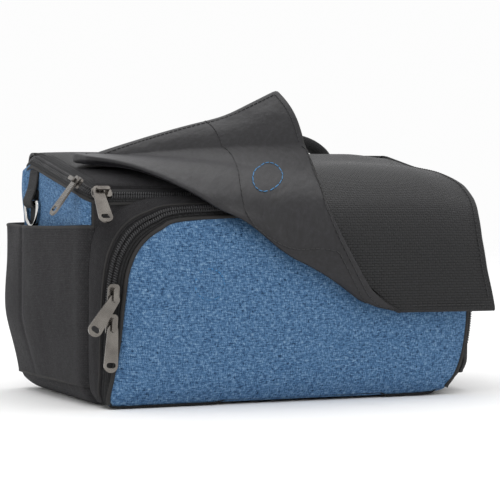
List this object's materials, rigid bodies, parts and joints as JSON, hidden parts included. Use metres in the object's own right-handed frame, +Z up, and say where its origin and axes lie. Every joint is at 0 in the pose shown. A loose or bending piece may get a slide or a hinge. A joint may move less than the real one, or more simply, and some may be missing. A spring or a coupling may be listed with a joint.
{
  "type": "padded shoulder bag",
  "caption": "Padded shoulder bag for a camera, with a magnetic front flap turned back at one corner, a zipped lid and a zipped front pocket.",
  "frame": {"origin": "on the resting face under the bag, under the middle of its width", "axes": "+X to the bag's right seen from the front, -Y towards the front, +Z up"},
  "size_m": [0.3311, 0.2039, 0.2174],
  "materials": {
    "black_nylon": "ribbed woven black nylon",
    "blue_cloth": "blue melange weave",
    "foam_board": "closed-cell foam board",
    "lining_cloth": "smooth dark grey lining",
    "zip_tape": "woven tape with a grey coil",
    "webbing": "ribbed black webbing",
    "bright_metal": "polished nickel plate",
    "dark_metal": "dark nickel plate",
    "magnet": "bare magnet disc"
  },
  "bodies": {
    "bag_body": {"back_panel": "black_nylon", "base_panel": "black_nylon", "foam_back": "foam_board", "foam_base": "foam_board", "foam_front": "foam_board", "foam_left": "foam_board", "foam_right": "foam_board", "front_panel": "black_nylon", "handle_tab_left": "webbing", "handle_tab_right": "webbing", "hinge_strip": "black_nylon", "lid_zip_lower": "zip_tape", "liner": "lining_cloth", "pocket_foot": "black_nylon", "pocket_gusset": "black_nylon", "pocket_magnet_left": "magnet", "pocket_magnet_right": "magnet", "pocket_panel": "blue_cloth", "pocket_zip_inner": "zip_tape", "pocket_zip_outer": "zip_tape", "ring_tab_left": "webbing", "ring_tab_right": "webbing", "side_panel_left": "blue_cloth", "side_panel_right": "blue_cloth", "side_pocket_left": "black_nylon", "side_pocket_right": "black_nylon"},
    "divider_left": {"divider_left": "lining_cloth"},
    "divider_right": {"divider_right": "lining_cloth"},
    "ring_left": {"d_ring_left": "bright_metal"},
    "ring_right": {"d_ring_right": "bright_metal"},
    "carry_handle": {"handle": "webbing"},
    "lid": {"lid_lining": "lining_cloth", "lid_foam": "foam_board", "lid_panel": "black_nylon", "lid_zip_upper": "zip_tape", "flap_root": "black_nylon"},
    "flap": {"flap_lining": "lining_cloth", "flap_cloth": "black_nylon", "flap_magnet_right": "magnet", "flap_roll": "lining_cloth"},
    "flap_corner": {"flap_corner": "lining_cloth", "flap_magnet_left": "magnet"},
    "lid_slider_side": {"lid_slider_side": "dark_metal"},
    "lid_pull_side": {"lid_pull_side": "dark_metal"},
    "lid_slider_front": {"lid_slider_front": "dark_metal"},
    "lid_pull_front": {"lid_pull_front": "dark_metal"},
    "pocket_slider_upper": {"pocket_slider_upper": "dark_metal"},
    "pocket_pull_upper": {"pocket_pull_upper": "dark_metal"},
    "pocket_slider_lower": {"pocket_slider_lower": "dark_metal"},
    "pocket_pull_lower": {"pocket_pull_lower": "dark_metal"}
  },
  "joints": [
    {"name": "lid_open", "type": "hinge", "parent": "bag_body", "child": "lid", "pos_m": [0, 0.071, 0.168], "axis": [-1, 0, 0], "range_deg": [0, 75]},
    {"name": "flap_lift", "type": "hinge", "parent": "lid", "child": "flap", "pos_m": [0, 0.066, 0.176], "axis": [-1, 0, 0], "range_deg": [0, 80]},
    {"name": "corner_turn", "type": "hinge", "parent": "flap", "child": "flap_corner", "pos_m": [-0.132, -0.008, 0.182], "axis": [0.9262, -0.3679, -0.0825], "range_deg": [-25, 40]},
    {"name": "divider_left_shift", "type": "slide", "parent": "bag_body", "child": "divider_left", "axis": [1, 0, 0], "range_m": [-0.025, 0.025]},
    {"name": "divider_right_shift", "type": "slide", "parent": "bag_body", "child": "divider_right", "axis": [1, 0, 0], "range_m": [-0.025, 0.025]},
    {"name": "ring_left_swing", "type": "hinge", "parent": "bag_body", "child": "ring_left", "pos_m": [-0.1519, 0.046, 0.137], "axis": [0, 1, 0], "range_deg": [0, 110]},
    {"name": "ring_right_swing", "type": "hinge", "parent": "bag_body", "child": "ring_right", "pos_m": [0.1519, 0.046, 0.137], "axis": [0, -1, 0], "range_deg": [0, 110]},
    {"name": "handle_fold", "type": "hinge", "parent": "bag_body", "child": "carry_handle", "pos_m": [0, 0.086, 0.158], "axis": [-1, 0, 0], "range_deg": [0, 80]},
    {"name": "lid_slider_side_run", "type": "slide", "parent": "bag_body", "child": "lid_slider_side", "axis": [0, 0.9825, 0.1863], "range_m": [0, 0.06]},
    {"name": "lid_slider_front_run", "type": "slide", "parent": "bag_body", "child": "lid_slider_front", "axis": [1, 0, 0], "range_m": [0, 0.01]},
    {"name": "pocket_slider_upper_run", "type": "slide", "parent": "bag_body", "child": "pocket_slider_upper", "axis": [0.06, 0, 0.9982], "range_m": [0, 0.012]},
    {"name": "pocket_slider_lower_run", "type": "slide", "parent": "bag_body", "child": "pocket_slider_lower", "axis": [-0.06, 0, -0.9982], "range_m": [0, 0.02]},
    {"name": "lid_pull_side_swing", "type": "hinge", "parent": "lid_slider_side", "child": "lid_pull_side", "pos_m": [-0.14883, -0.05425, 0.14964], "axis": [-0.8286, -0.1043, 0.5501], "range_deg": [0, 60]},
    {"name": "lid_pull_front_swing", "type": "hinge", "parent": "lid_slider_front", "child": "lid_pull_front", "pos_m": [-0.1427, -0.07274, 0.14275], "axis": [0, -0.7431, 0.6691], "range_deg": [-60, 0]},
    {"name": "pocket_pull_upper_swing", "type": "hinge", "parent": "pocket_slider_upper", "child": "pocket_pull_upper", "pos_m": [-0.13859, -0.0929, 0.07287], "axis": [0, -1, 0], "range_deg": [-40, 0]},
    {"name": "pocket_pull_lower_swing", "type": "hinge", "parent": "pocket_slider_lower", "child": "pocket_pull_lower", "pos_m": [-0.13979, -0.0929, 0.0529], "axis": [0, -1, 0], "range_deg": [0, 7]}
  ]
}
